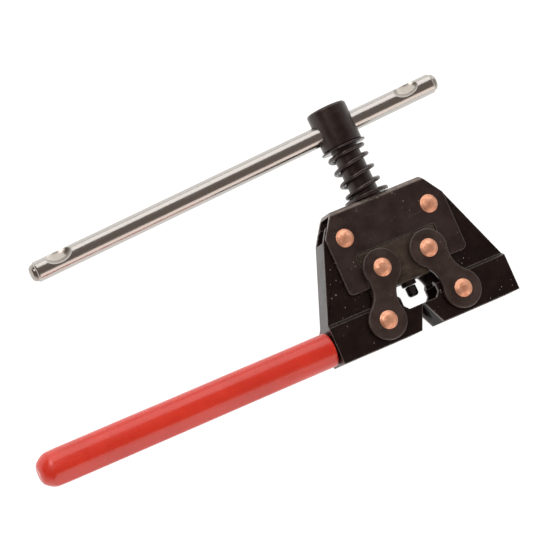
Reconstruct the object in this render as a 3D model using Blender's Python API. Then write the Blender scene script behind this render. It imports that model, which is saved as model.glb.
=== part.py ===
"""Roller chain breaker with a sprung forcing screw, lying flat on the heads of its back rivets.

The tool is drawn in its own plane: x across the jaws, y along the screw towards its head, and z out of the
front cheek. There x = 0 is the screw's axis, y = 0 the top of the jaw lips, where the chain's link plate
rests, and z = 0 half way through the tool. Each side piece is drawn on the right and mirrored by side = -1.
"""

import math
from collections import namedtuple

import bmesh
import bpy
from mathutils import Matrix, Vector

# Clearances and stock, in metres
GAP = 0.0003
SHEET = 0.0018
ROUND_SIDES = 28
RIVET_SIDES = 16

# Saddle frame: a sheet folded into an upside-down U
TOOL_DEPTH = 0.0186
BRIDGE_TOP = 0.0607
BRIDGE_HALF_WIDTH = 0.0259
SHOULDER_HALF_WIDTH = 0.0343
SHOULDER_HEIGHT = 0.0485
ARM_BOTTOM = 0.0173
ARM_CORNER_RADIUS = 0.0025
BEND_RADIUS = 0.0030
WINDOW_HALF_WIDTH = 0.0228
WINDOW_TOP = 0.0355

# Linkage pivots on the right, and the copper rivets in them
FRAME_PIVOT = (0.0246, 0.0456)
CROSSHEAD_PIVOT = (0.0136, 0.0246)
JAW_PIVOT = (0.0219, -0.0010)
RIVET_SHANK_RADIUS = 0.0030
RIVET_HEAD_RADIUS = 0.0050
RIVET_HEAD_HEIGHT = 0.0020
RIVET_HOLE_RADIUS = 0.0032
OPEN_HOLE_RADIUS = 0.0034

# Dog-bone links
LINK_THICKNESS = 0.0030
LINK_END_RADIUS = 0.01025
LINK_WAIST_HALF_WIDTH = 0.0062
LINK_EDGE = 0.0005

# Crosshead nut, which slides in the frame's window
CROSSHEAD_HALF_WIDTH = 0.0223
CROSSHEAD_BOTTOM = 0.0133
CROSSHEAD_TOP = 0.0352
THREAD_RADIUS = 0.0060

# Forcing screw, its push pin and its spring
HEAD_RADIUS = 0.0107
HEAD_BOTTOM = 0.0904
HEAD_TOP = 0.1118
HEAD_CHAMFER = 0.0008
SHANK_RADIUS = 0.0071
SHANK_BOTTOM = 0.0445
THREAD_BOTTOM = 0.0150
NOSE_RADIUS = 0.0040
NOSE_BOTTOM = 0.0110
PIN_RADIUS = 0.0029
PIN_TIP = 0.0052
PIN_TIP_CHAMFER = 0.0008
PIN_TAIL_RADIUS = 0.0020
PIN_TAIL_TOP = 0.0200
SEAT_RADIUS = 0.0120
SEAT_CROWN_RADIUS = 0.0090
SEAT_HEIGHT = 0.0020
SEAT_LIFT = 0.0005
WASHER_RADIUS = 0.0120
WASHER_THICKNESS = 0.0010
SPRING_RADIUS = 0.0094
SPRING_WIRE = 0.0022
SPRING_TURNS = 4.0
SPRING_CLOSED_BELOW = 0.3
SPRING_CLOSED_ABOVE = 0.75
SPRING_START = math.radians(90.0)
SCREW_LEAN = math.radians(1.7)

# Tommy bar, through the screw's head
BAR_RADIUS = 0.0053
BAR_HEIGHT = 0.1000
BAR_LEFT = 0.1746
BAR_RIGHT = 0.0606
BAR_DROOP = math.radians(3.1)
BAR_TILT = math.radians(1.7)
BAR_HOLE_RADIUS = 0.0058
BAR_END_RADIUS = 0.0030
BAR_NOSE_RADIUS = 0.0042
DENT_RADIUS = 0.0120
DENT_DEPTH = 0.0023
DENT_LEFT = 0.1583
DENT_RIGHT = 0.0425
DENT_TURN = math.radians(50.0)

# Jaws: sheet channels with a solid insert at the tip
JAW_END = 0.0515
JAW_BOTTOM = -0.0127
JAW_CORNER_HEIGHT = 0.0067
JAW_SLOPE_TOP = (0.0352, 0.0480)
JAW_EAR_TOP = 0.0544
JAW_EAR_OUTER = 0.0310
JAW_EAR_INNER = 0.0166
JAW_EAR_FOOT = 0.0380
JAW_WALL_STEP = 0.0362
JOGGLE_TOP = 0.0080
JOGGLE_DROP = 0.0014
UPPER_HALF_DEPTH = TOOL_DEPTH / 2 - SHEET - GAP
LIP_END = 0.0080
NEST_HALF_WIDTH = 0.0102
NEST_CORNER_HEIGHT = 0.0025
INSERT_NEST = 0.0175
TIP_NOSE = (0.00015, -0.0005)
TIP_SHOULDER = (0.0008, -0.0008)
TIP_FOOT = 0.0064
INSERT_END = 0.0319
INSERT_RELIEF = ((INSERT_END, -0.0070, 0.0), (0.0160, -0.0104, 0.0), (0.0130, JAW_BOTTOM, 0.0))
ROLLER_NOTCH_RADIUS = 0.0047

# Handle on the left jaw
HANDLE_HEIGHT = -0.0028
HANDLE_BAR_RADIUS = 0.0066
HANDLE_NECK_RADIUS = 0.0060
HANDLE_WALL = 0.0022
HANDLE_LENGTH = 0.1618
HANDLE_TIP_RADIUS = 0.0050
HANDLE_TIP_LENGTH = 0.0050
HANDLE_TIP_BLEND = 0.0010

HALF_DEPTH = TOOL_DEPTH / 2
LINK_FACE = HALF_DEPTH + GAP + LINK_THICKNESS
GRIP_RADIUS = HANDLE_BAR_RADIUS + GAP + HANDLE_WALL
GRIP_END = JAW_END + GAP + HANDLE_LENGTH
SEAT_TOP = BRIDGE_TOP + SEAT_LIFT + SEAT_HEIGHT
WASHER_BOTTOM = HEAD_BOTTOM - GAP - WASHER_THICKNESS
OVER = 0.0050

# The row's origin is under the middle of the whole tool, on the surface it lies on
LEAN_COS, LEAN_SIN = math.cos(SCREW_LEAN), math.sin(SCREW_LEAN)
BAR_SHIFT = (BAR_HEIGHT - CROSSHEAD_PIVOT[1]) * LEAN_SIN
BAR_SHARE = LEAN_COS * math.cos(BAR_DROOP) * math.cos(BAR_TILT) - LEAN_SIN * math.sin(BAR_TILT)
BAR_REACH = BAR_RIGHT * BAR_SHARE + BAR_END_RADIUS * math.sqrt(1 - BAR_SHARE ** 2) - BAR_SHIFT
HEAD_RISE = (HEAD_TOP - CROSSHEAD_PIVOT[1]) * LEAN_COS + (HEAD_RADIUS - HEAD_CHAMFER) * LEAN_SIN
TOOL_PLACE = Vector((
    (GRIP_END - BAR_REACH) / 2,
    -(CROSSHEAD_PIVOT[1] + HEAD_RISE + JAW_BOTTOM) / 2,
    LINK_FACE + GAP + RIVET_HEAD_HEIGHT,
))

BLACK_OXIDE = ((0.035, 0.030, 0.029), 0.42, 0.75)
BROWNED_STEEL = ((0.120, 0.085, 0.065), 0.45, 0.80)
COPPER = ((0.780, 0.420, 0.280), 0.35, 0.95)
POLISHED_CHROME = ((0.780, 0.770, 0.750), 0.12, 1.00)
RED_VINYL = ((0.650, 0.045, 0.030), 0.30, 0.00)
BARE_STEEL = ((0.450, 0.440, 0.430), 0.35, 1.00)

Body = namedtuple("Body", "empty pivot")

ALONG_Y = Matrix.Rotation(math.radians(-90), 4, "X")
ALONG_X = Matrix.Rotation(math.radians(90), 4, "Y")
ALONG_X_FROM_SIDE = Matrix(((0, 0, 1, 0), (0, 1, 0, 0), (1, 0, 0, 0), (0, 0, 0, 1)))


def clear_scene():
    for old in list(bpy.data.objects):
        bpy.data.objects.remove(old, do_unlink=True)


def finish_material(name, finish):
    colour, roughness, metallic = finish
    material = bpy.data.materials.new(name)
    material.use_nodes = True
    shader = material.node_tree.nodes["Principled BSDF"]
    shader.inputs["Base Color"].default_value = (*colour, 1.0)
    shader.inputs["Roughness"].default_value = roughness
    shader.inputs["Metallic"].default_value = metallic
    return material


def make_body(name, pivot=(0.0, 0.0), root=None):
    """An empty on a body's joint axis, in the tool's frame; the body's pieces are its children."""
    empty = bpy.data.objects.new(name + "_body", None)
    bpy.context.scene.collection.objects.link(empty)
    pivot = Vector((pivot[0], pivot[1], 0.0))
    empty.parent = root.empty if root else None
    empty.location = pivot if root else TOOL_PLACE
    return Body(empty, pivot)


def add_piece(name, bm, body, finish):
    """Makes a named object from a shape drawn in the tool's frame, with its origin on its body's axis."""
    obj = add_shape(name, bm, body)
    obj.data.materials.append(finish_material(name + "_finish", finish))
    if finish in (COPPER, POLISHED_CHROME, RED_VINYL):
        obj.data.shade_smooth()
    return obj


def add_shape(name, bm, body):
    bmesh.ops.recalc_face_normals(bm, faces=bm.faces)
    bm.transform(Matrix.Translation(-body.pivot))
    mesh = bpy.data.meshes.new(name)
    bm.to_mesh(mesh)
    bm.free()
    obj = bpy.data.objects.new(name, mesh)
    bpy.context.scene.collection.objects.link(obj)
    obj.parent = body.empty
    return obj


def combine(target, operation, bm, body):
    """Cuts, joins or intersects a piece with another shape, which is kept as a hidden guide."""
    guide = add_shape(f"{target.name}_{operation.lower()}_{len(target.modifiers)}", bm, body)
    guide.hide_render = True
    guide.display_type = "WIRE"
    modifier = target.modifiers.new(guide.name, "BOOLEAN")
    modifier.operation = operation
    modifier.solver = "EXACT"
    modifier.object = guide


def bevel_edges(obj, width):
    bevel = obj.modifiers.new("edges", "BEVEL")
    bevel.width = width
    bevel.segments = 1
    bevel.limit_method = "ANGLE"
    bevel.angle_limit = math.radians(50)


def prism(outline, low, high, turn=None):
    """A solid with the given outline, from low to high along z, or turned to lie along another axis."""
    bm = bmesh.new()
    bottom = [bm.verts.new((point[0], point[1], low)) for point in outline]
    top = [bm.verts.new((point[0], point[1], high)) for point in outline]
    bm.faces.new(bottom)
    bm.faces.new(top)
    for i in range(len(outline)):
        bm.faces.new((bottom[i - 1], bottom[i], top[i], top[i - 1]))
    if turn:
        bm.transform(turn)
    return bm


def rectangle(left, bottom, right, top):
    return [(left, bottom), (right, bottom), (right, top), (left, top)]


def block(low, high):
    return prism(rectangle(low[0], low[1], high[0], high[1]), low[2], high[2])


def turned(profile, sides, place=Matrix.Identity(4)):
    """Turns a profile of (radius, height) points about z; a profile that starts off the axis is a ring."""
    bm = bmesh.new()
    rings = []
    for radius, height in profile:
        count = sides if radius > 0 else 1
        angles = [2 * math.pi * i / sides for i in range(count)]
        rings.append([bm.verts.new((radius * math.cos(a), radius * math.sin(a), height)) for a in angles])
    pairs = list(zip(rings, rings[1:]))
    if profile[0][0] > 0:
        pairs.append((rings[-1], rings[0]))
    for lower, upper in pairs:
        for i in range(sides):
            j = (i + 1) % sides
            corners = [(lower, i), (lower, j), (upper, j), (upper, i)]
            bm.faces.new(list(dict.fromkeys(ring[k % len(ring)] for ring, k in corners)))
    bm.transform(place)
    return bm


def rod(radius, low, high, sides=ROUND_SIDES, place=Matrix.Identity(4)):
    return turned([(0, low), (radius, low), (radius, high), (0, high)], sides, place)


def at(pivot, side=1):
    return Matrix.Translation((side * pivot[0], pivot[1], 0.0))


def rounded(corners, steps=4):
    """An outline from (x, y, radius) corners, each with a radius made an arc."""
    outline = []
    count = len(corners)
    for i, (x, y, radius) in enumerate(corners):
        here = Vector((x, y))
        if not radius:
            outline.append(here)
            continue
        to_last = (Vector(corners[i - 1][:2]) - here).normalized()
        to_next = (Vector(corners[(i + 1) % count][:2]) - here).normalized()
        half = to_last.angle(to_next) / 2
        centre = here + (to_last + to_next).normalized() * radius / math.sin(half)
        first = here + to_last * radius / math.tan(half) - centre
        last = here + to_next * radius / math.tan(half) - centre
        for k in range(steps + 1):
            outline.append(centre + first.lerp(last, k / steps).normalized() * radius)
    return outline


def mirrored(corners, side):
    return [(side * corner[0], *corner[1:]) for corner in corners]


def make_frame_saddle(body):
    """The cheeks' outline, cut to the section of a sheet folded over both long edges of the bridge."""
    half = [
        (WINDOW_HALF_WIDTH, WINDOW_TOP, 0.0012),
        (WINDOW_HALF_WIDTH, ARM_BOTTOM, 0.0008),
        (SHOULDER_HALF_WIDTH, ARM_BOTTOM, ARM_CORNER_RADIUS),
        (SHOULDER_HALF_WIDTH, SHOULDER_HEIGHT, 0.0010),
        (BRIDGE_HALF_WIDTH, BRIDGE_TOP, 0.0),
    ]
    cheeks = rounded(half + mirrored(reversed(half), -1), 3)
    saddle = add_piece("frame_saddle", prism(cheeks, -2 * HALF_DEPTH, 2 * HALF_DEPTH), body, BLACK_OXIDE)
    inner = HALF_DEPTH - SHEET
    foot = ARM_BOTTOM - OVER
    section = rounded([
        (-HALF_DEPTH, foot, 0.0),
        (-inner, foot, 0.0),
        (-inner, BRIDGE_TOP - SHEET, BEND_RADIUS - SHEET),
        (inner, BRIDGE_TOP - SHEET, BEND_RADIUS - SHEET),
        (inner, foot, 0.0),
        (HALF_DEPTH, foot, 0.0),
        (HALF_DEPTH, BRIDGE_TOP, BEND_RADIUS),
        (-HALF_DEPTH, BRIDGE_TOP, BEND_RADIUS),
    ])
    width = SHOULDER_HALF_WIDTH + OVER
    combine(saddle, "INTERSECT", prism(section, -width, width, ALONG_X_FROM_SIDE), body)
    low, high = BRIDGE_TOP - 2 * SHEET, BRIDGE_TOP + SHEET
    cut_hole(saddle, SHANK_RADIUS + 2 * GAP, low, high, body, along_screw())
    for side in (-1, 1):
        cut_rivet_hole(saddle, FRAME_PIVOT, side, body)


def cut_rivet_hole(target, pivot, side, body, radius=RIVET_HOLE_RADIUS):
    """A hole through the whole depth of the tool."""
    cut_hole(target, radius, -TOOL_DEPTH, TOOL_DEPTH, body, at(pivot, side))


def cut_hole(target, radius, low, high, body, place):
    combine(target, "DIFFERENCE", rod(radius, low, high, place=place), body)


def screw_lean():
    """Turns the screw's parts to the left about the crosshead's middle, as far as slack lets them lean."""
    middle = Matrix.Translation((0.0, CROSSHEAD_PIVOT[1], 0.0))
    return middle @ Matrix.Rotation(SCREW_LEAN, 4, "Z") @ middle.inverted()


def along_screw():
    """Carries z onto the forcing screw's axis, from its nose to its head."""
    return screw_lean() @ ALONG_Y


def make_spring_seat(body):
    bottom = BRIDGE_TOP + SEAT_LIFT
    bore = SHANK_RADIUS + GAP
    profile = [
        (bore, bottom),
        (SEAT_RADIUS, bottom),
        (SEAT_RADIUS, bottom + SEAT_HEIGHT / 3),
        (SEAT_CROWN_RADIUS, SEAT_TOP),
        (bore, SEAT_TOP),
    ]
    add_piece("spring_seat", turned(profile, ROUND_SIDES, along_screw()), body, BLACK_OXIDE)


def spring_height(turn):
    """Height of the wire's middle: close wound at both ends, evenly open between them."""
    low = SEAT_TOP + GAP + SPRING_WIRE / 2
    high = WASHER_BOTTOM - GAP - SPRING_WIRE / 2
    closed_pitch = SPRING_WIRE + GAP
    opening = (high - low) - closed_pitch * SPRING_TURNS
    share = (turn - SPRING_CLOSED_BELOW) / (SPRING_TURNS - SPRING_CLOSED_ABOVE - SPRING_CLOSED_BELOW)
    return low + closed_pitch * turn + opening * min(max(share, 0.0), 1.0)


def make_return_spring(body):
    steps_per_turn = 16
    steps = round(SPRING_TURNS * steps_per_turn)
    curve = bpy.data.curves.new("return_spring", "CURVE")
    curve.dimensions = "3D"
    curve.bevel_depth = SPRING_WIRE / 2
    curve.bevel_resolution = 1
    curve.use_fill_caps = True
    spline = curve.splines.new("POLY")
    spline.points.add(steps)
    for i, point in enumerate(spline.points):
        turn = i / steps_per_turn
        angle = 2 * math.pi * turn + SPRING_START
        x, z = SPRING_RADIUS * math.cos(angle), -SPRING_RADIUS * math.sin(angle)
        point.co = (*(screw_lean() @ Vector((x, spring_height(turn), z))), 1.0)
    spring = bpy.data.objects.new("return_spring", curve)
    bpy.context.scene.collection.objects.link(spring)
    spring.parent = body.empty
    curve.materials.append(finish_material("return_spring_finish", BLACK_OXIDE))


def make_head_washer(body):
    bore = SHANK_RADIUS + GAP
    top = WASHER_BOTTOM + WASHER_THICKNESS
    profile = [(bore, WASHER_BOTTOM), (WASHER_RADIUS, WASHER_BOTTOM), (WASHER_RADIUS, top), (bore, top)]
    add_piece("head_washer", turned(profile, ROUND_SIDES, along_screw()), body, BLACK_OXIDE)


def cross_hole_place():
    """Carries z onto the hole's axis, square to the screw, from its left mouth to its right."""
    droop = Matrix.Rotation(-BAR_DROOP, 4, "Y")
    return screw_lean() @ Matrix.Translation((0.0, BAR_HEIGHT, 0.0)) @ droop @ ALONG_X


def bar_place():
    """Carries z onto the tommy bar's own axis; the bar sags by its tilt in the loose hole."""
    tilt = Matrix.Rotation(BAR_TILT, 4, "Z")
    return cross_hole_place() @ ALONG_X.inverted() @ tilt @ ALONG_X


def make_forcing_screw(body):
    step = SHANK_RADIUS - THREAD_RADIUS
    profile = [
        (0, NOSE_BOTTOM),
        (NOSE_RADIUS, NOSE_BOTTOM),
        (NOSE_RADIUS, THREAD_BOTTOM),
        (THREAD_RADIUS, THREAD_BOTTOM + GAP),
        (THREAD_RADIUS, SHANK_BOTTOM - step),
        (SHANK_RADIUS, SHANK_BOTTOM),
        (SHANK_RADIUS, HEAD_BOTTOM),
        (HEAD_RADIUS - HEAD_CHAMFER, HEAD_BOTTOM),
        (HEAD_RADIUS, HEAD_BOTTOM + HEAD_CHAMFER),
        (HEAD_RADIUS, HEAD_TOP - HEAD_CHAMFER),
        (HEAD_RADIUS - HEAD_CHAMFER, HEAD_TOP),
        (0, HEAD_TOP),
    ]
    screw = add_piece("forcing_screw", turned(profile, ROUND_SIDES, along_screw()), body, BLACK_OXIDE)
    cross_hole = rod(BAR_HOLE_RADIUS, -2 * HEAD_RADIUS, 2 * HEAD_RADIUS, place=cross_hole_place())
    combine(screw, "DIFFERENCE", cross_hole, body)
    cut_hole(screw, PIN_TAIL_RADIUS + GAP, NOSE_BOTTOM - OVER, PIN_TAIL_TOP + GAP, body, along_screw())


def make_push_pin(body):
    shoulder = NOSE_BOTTOM - GAP
    profile = [
        (0, PIN_TIP),
        (PIN_RADIUS - PIN_TIP_CHAMFER, PIN_TIP),
        (PIN_RADIUS, PIN_TIP + PIN_TIP_CHAMFER),
        (PIN_RADIUS, shoulder),
        (PIN_TAIL_RADIUS, shoulder),
        (PIN_TAIL_RADIUS, PIN_TAIL_TOP),
        (0, PIN_TAIL_TOP),
    ]
    add_piece("push_pin", turned(profile, ROUND_SIDES // 2, along_screw()), body, BARE_STEEL)


def bar_end(end, inward):
    """Profile of one end of the tommy bar, from its flat tip to full thickness."""
    return [
        (0, end),
        (BAR_END_RADIUS, end),
        (BAR_NOSE_RADIUS, end + inward * 0.0010),
        (BAR_NOSE_RADIUS, end + inward * 0.0018),
        (BAR_RADIUS, end + inward * 0.0026),
    ]


def make_tommy_bar(body):
    """A round bar whose ends are pinched by two opposite scoops each, so it can't leave the screw's head."""
    profile = bar_end(-BAR_LEFT, 1) + bar_end(BAR_RIGHT, -1)[::-1]
    bar = add_piece("tommy_bar", turned(profile, ROUND_SIDES, bar_place()), body, POLISHED_CHROME)
    offset = BAR_RADIUS + DENT_RADIUS - DENT_DEPTH
    for along in (-DENT_LEFT, DENT_RIGHT):
        for turn in (DENT_TURN, DENT_TURN + math.pi):
            scoop = bmesh.new()
            bmesh.ops.create_uvsphere(scoop, u_segments=20, v_segments=12, radius=DENT_RADIUS)
            scoop.transform(bar_place() @ scoop_place(along, turn, offset))
            combine(bar, "DIFFERENCE", scoop, body)


def scoop_place(along, turn, offset):
    """Where a scoop's sphere stands in the bar's own frame; turn 0 faces +y and 90 degrees faces +z."""
    return Matrix.Translation((-offset * math.sin(turn), offset * math.cos(turn), along))


def make_crosshead(body):
    low = (-CROSSHEAD_HALF_WIDTH, CROSSHEAD_BOTTOM, -HALF_DEPTH)
    high = (CROSSHEAD_HALF_WIDTH, CROSSHEAD_TOP, HALF_DEPTH)
    nut = add_piece("crosshead_nut", block(low, high), body, BROWNED_STEEL)
    bevel_edges(nut, 0.0004)
    bottom, top = CROSSHEAD_BOTTOM - OVER, CROSSHEAD_TOP + OVER
    cut_hole(nut, THREAD_RADIUS + GAP, bottom, top, body, along_screw())
    for side in (-1, 1):
        cut_rivet_hole(nut, CROSSHEAD_PIVOT, side, body)


def tip_outline(top, far_end, heel, nest):
    """The right jaw's lower outline: lip, nest for the chain, top, far end and the slanted tip."""
    return [
        (TIP_NOSE[0], 0.0, 0.0),
        *nest,
        (nest[-1][0], top, 0.0),
        (far_end, top, 0.0),
        *heel,
        (TIP_FOOT, JAW_BOTTOM, 0.0),
        (*TIP_SHOULDER, 0.0),
        (*TIP_NOSE, 0.0),
    ]


def jaw_slope(offset, height):
    """Where the sloping outer web crosses a height, measured offset inside its outer face."""
    run = JAW_SLOPE_TOP[0] - JAW_END
    rise = JAW_SLOPE_TOP[1] - JAW_CORNER_HEIGHT
    across = offset * math.hypot(run, rise) / rise
    return JAW_END + run * (height - JAW_CORNER_HEIGHT) / rise - across


def make_jaw(name, side, body):
    """A sheet channel, narrow where it turns inside the frame and joggled out flush with it below."""
    heel = [(JAW_END, JAW_CORNER_HEIGHT, 0.0), (JAW_END, JAW_BOTTOM, 0.0)]
    nest = [(LIP_END, 0.0, 0.0), (NEST_HALF_WIDTH, NEST_CORNER_HEIGHT, 0.0)]
    lower = tip_outline(JOGGLE_TOP, jaw_slope(0.0, JOGGLE_TOP), heel, nest)
    jaw = add_piece(name, prism(mirror_flat(lower, side), -HALF_DEPTH, HALF_DEPTH), body, BLACK_OXIDE)
    rise = HALF_DEPTH - UPPER_HALF_DEPTH
    lean = JOGGLE_DROP / rise
    for front in (-1, 1):
        edge = [
            (front * (HALF_DEPTH + GAP), JOGGLE_TOP - JOGGLE_DROP - lean * GAP),
            (front * (UPPER_HALF_DEPTH - GAP), JOGGLE_TOP + lean * GAP),
            (front * (HALF_DEPTH + GAP), JOGGLE_TOP + OVER),
        ]
        width = 2 * JAW_END
        combine(jaw, "DIFFERENCE", prism(edge, -width, width, ALONG_X_FROM_SIDE), body)
    combine(jaw, "UNION", prism(upper_wall(side), -UPPER_HALF_DEPTH, UPPER_HALF_DEPTH), body)
    cut_channel(jaw, side, body)
    for pivot in (FRAME_PIVOT, JAW_PIVOT):
        cut_rivet_hole(jaw, pivot, side, body)
    return jaw


def mirror_flat(corners, side):
    return [(side * corner[0], corner[1]) for corner in corners]


def upper_wall(side):
    inner = CROSSHEAD_HALF_WIDTH + 2 * GAP
    foot = JOGGLE_TOP - SHEET - GAP
    corners = [
        (inner, foot, 0.0),
        (JAW_END, foot, 0.0),
        (JAW_END, JAW_CORNER_HEIGHT, 0.0),
        (*JAW_SLOPE_TOP, 0.0),
        (JAW_EAR_OUTER, JAW_EAR_TOP, 0.0030),
        (JAW_EAR_INNER, JAW_EAR_TOP, 0.0070),
        (JAW_EAR_INNER, JAW_EAR_FOOT, 0.0050),
        (inner, JAW_WALL_STEP, 0.0),
    ]
    return rounded(mirrored(corners, side))


def cut_channel(jaw, side, body):
    """Hollows the jaw out, narrow above the joggle and wide below it, and leaves the outer web."""
    ledge = JOGGLE_TOP - SHEET - GAP
    web_top = JAW_SLOPE_TOP[1] - GAP
    web_foot = JAW_END - SHEET
    narrow = [
        (-OVER, JAW_BOTTOM - OVER),
        (web_foot, JAW_BOTTOM - OVER),
        (web_foot, JAW_CORNER_HEIGHT - GAP),
        (jaw_slope(SHEET, web_top), web_top),
        (2 * JAW_END, web_top),
        (2 * JAW_END, BRIDGE_TOP + OVER),
        (-OVER, BRIDGE_TOP + OVER),
    ]
    half = UPPER_HALF_DEPTH - SHEET
    combine(jaw, "DIFFERENCE", prism(mirror_flat(narrow, side), -half, half), body)
    wide = rectangle(-OVER, JAW_BOTTOM - OVER, web_foot, ledge)
    half = HALF_DEPTH - SHEET
    combine(jaw, "DIFFERENCE", prism(mirror_flat(wide, side), -half, half), body)


def make_jaw_insert(name, side, heel, body):
    """The solid tip between the jaw's walls, with half of the hole that the chain's pin leaves through."""
    top = JOGGLE_TOP - SHEET - 2 * GAP
    outline = mirror_flat(tip_outline(top, INSERT_END, heel, [(INSERT_NEST, 0.0, 0.0)]), side)
    half = HALF_DEPTH - SHEET - GAP
    insert = add_piece(name, prism(outline, -half, half), body, BLACK_OXIDE)
    cut_hole(insert, ROLLER_NOTCH_RADIUS, JAW_BOTTOM - OVER, OVER, body, ALONG_Y)
    cut_rivet_hole(insert, JAW_PIVOT, side, body)


def handle_place():
    """Carries z onto the handle's axis, from the jaw outwards."""
    return Matrix.Translation((0.0, HANDLE_HEIGHT, 0.0)) @ Matrix.Rotation(math.radians(-90), 4, "Y")


def make_handle_bar(body):
    """A square tang in the jaw's channel, a neck through its web and a round bar under the grip."""
    end = GRIP_END - HANDLE_WALL - GAP
    shoulder = JAW_END + GAP
    tang_end = JAW_END - SHEET - GAP
    profile = [
        (0, INSERT_END + OVER),
        (HANDLE_NECK_RADIUS, INSERT_END + OVER),
        (HANDLE_NECK_RADIUS, shoulder),
        (HANDLE_BAR_RADIUS, shoulder),
        (HANDLE_BAR_RADIUS, end - HANDLE_TIP_LENGTH),
        (HANDLE_TIP_RADIUS - HANDLE_WALL, end),
        (0, end),
    ]
    bar = add_piece("handle_bar", turned(profile, ROUND_SIDES, handle_place()), body, BLACK_OXIDE)
    half = HALF_DEPTH - SHEET - GAP
    low = (-tang_end, JAW_BOTTOM, -half)
    high = (-INSERT_END - GAP, JOGGLE_TOP - SHEET - 2 * GAP, half)
    combine(bar, "UNION", block(low, high), body)


def blunted(before, corner, after, cut):
    """A corner made into two points, each the given distance along one of its edges."""
    here = Vector(corner)
    ends = (Vector(before), Vector(after))
    return [tuple(here + (end - here).normalized() * cut) for end in ends]


def make_handle_grip(body):
    """A dipped vinyl sleeve with a closed, rounded far end."""
    mouth = JAW_END + 2 * GAP
    bore = HANDLE_BAR_RADIUS + GAP
    bore_end = GRIP_END - HANDLE_WALL
    dome = [
        (0, GRIP_END),
        (HANDLE_TIP_RADIUS, GRIP_END),
        (GRIP_RADIUS, GRIP_END - HANDLE_TIP_LENGTH),
        (GRIP_RADIUS, mouth),
    ]
    tip, shoulder = (blunted(dome[i - 1], dome[i], dome[i + 1], HANDLE_TIP_BLEND) for i in (1, 2))
    profile = [
        dome[0],
        *tip,
        *shoulder,
        dome[3],
        (bore, mouth),
        (bore, bore_end - HANDLE_TIP_LENGTH),
        (HANDLE_TIP_RADIUS + GAP - HANDLE_WALL, bore_end),
        (0, bore_end),
    ]
    add_piece("handle_grip", turned(profile, ROUND_SIDES, handle_place()), body, RED_VINYL)


def link_outline(side, steps=8):
    """Two round ends joined by a waist whose sides are arcs tangent to both ends."""
    start = Vector((side * CROSSHEAD_PIVOT[0], CROSSHEAD_PIVOT[1]))
    end = Vector((side * JAW_PIVOT[0], JAW_PIVOT[1]))
    along = (end - start).normalized()
    across = Vector((-along.y, along.x))
    half = (end - start).length / 2
    spare = LINK_END_RADIUS ** 2 - LINK_WAIST_HALF_WIDTH ** 2 - half ** 2
    waist_radius = -spare / (2 * (LINK_END_RADIUS - LINK_WAIST_HALF_WIDTH))
    reach = LINK_WAIST_HALF_WIDTH + waist_radius
    lean = math.atan2(reach, half)
    outline = []
    for pivot, way in ((start, -1), (end, 1)):
        for i in range(2 * steps + 1):
            angle = (math.pi - lean) * (i / steps - 1)
            ray = along * math.cos(angle) + across * math.sin(angle)
            outline.append(pivot + way * LINK_END_RADIUS * ray)
        middle = start + along * half + way * across * reach
        for i in range(1, steps):
            angle = (math.pi / 2 - lean) * (1 - 2 * i / steps)
            ray = across * math.cos(angle) - along * math.sin(angle)
            outline.append(middle - way * waist_radius * ray)
    return outline


def make_links(name, side, body):
    for where, front in (("front", 1), ("back", -1)):
        faces = sorted((front * (HALF_DEPTH + GAP), front * LINK_FACE))
        link = add_piece(f"{name}_{where}", prism(link_outline(side), *faces), body, BLACK_OXIDE)
        bevel_edges(link, LINK_EDGE)
        cut_rivet_hole(link, CROSSHEAD_PIVOT, side, body)
        cut_rivet_hole(link, JAW_PIVOT, side, body, OPEN_HOLE_RADIUS)


def make_rivet(name, pivot, side, seat, body):
    """A rivet with a domed head on each face; seat is the height of a head's underside."""
    dome = (RIVET_HEAD_RADIUS ** 2 + RIVET_HEAD_HEIGHT ** 2) / (2 * RIVET_HEAD_HEIGHT)
    sweep = math.asin(RIVET_HEAD_RADIUS / dome)
    crown = []
    for i in range(4):
        angle = sweep * i / 3
        crown.append((dome * math.sin(angle), seat + RIVET_HEAD_HEIGHT - dome * (1 - math.cos(angle))))
    half = crown + [(RIVET_SHANK_RADIUS, seat)]
    profile = [(radius, -height) for radius, height in half] + half[::-1]
    add_piece(name, turned(profile, RIVET_SIDES, at(pivot, side)), body, COPPER)


def main():
    clear_scene()
    frame = make_body("frame")
    make_frame_saddle(frame)
    make_spring_seat(frame)
    make_return_spring(frame)
    crosshead = make_body("crosshead", (0.0, CROSSHEAD_TOP), frame)
    make_crosshead(crosshead)
    screw = make_body("screw", (0.0, HEAD_BOTTOM), frame)
    make_head_washer(make_body("washer", (0.0, HEAD_BOTTOM), frame))
    make_forcing_screw(screw)
    make_push_pin(screw)
    make_tommy_bar(make_body("bar", (0.0, BAR_HEIGHT), frame))
    full_heel = [(INSERT_END, JAW_BOTTOM, 0.0)]
    for name, side, heel in (("left", -1, full_heel), ("right", 1, INSERT_RELIEF)):
        jaw = make_body(name + "_jaw", (side * FRAME_PIVOT[0], FRAME_PIVOT[1]), frame)
        make_jaw(name + "_jaw", side, jaw)
        make_jaw_insert(name + "_jaw_insert", side, heel, jaw)
        links = make_body(name + "_links", (side * CROSSHEAD_PIVOT[0], CROSSHEAD_PIVOT[1]), frame)
        make_links(name + "_link", side, links)
        link_seat = LINK_FACE + GAP
        make_rivet(name + "_frame_rivet", FRAME_PIVOT, side, HALF_DEPTH + GAP, frame)
        make_rivet(name + "_crosshead_rivet", CROSSHEAD_PIVOT, side, link_seat, crosshead)
        make_rivet(name + "_jaw_rivet", JAW_PIVOT, side, link_seat, jaw)
        if side < 0:
            left_jaw = bpy.data.objects["left_jaw"]
            neck_hole = rod(HANDLE_NECK_RADIUS + GAP, JAW_END - OVER, JAW_END + OVER, place=handle_place())
            combine(left_jaw, "DIFFERENCE", neck_hole, jaw)
            make_handle_bar(jaw)
            make_handle_grip(jaw)


main()
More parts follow.
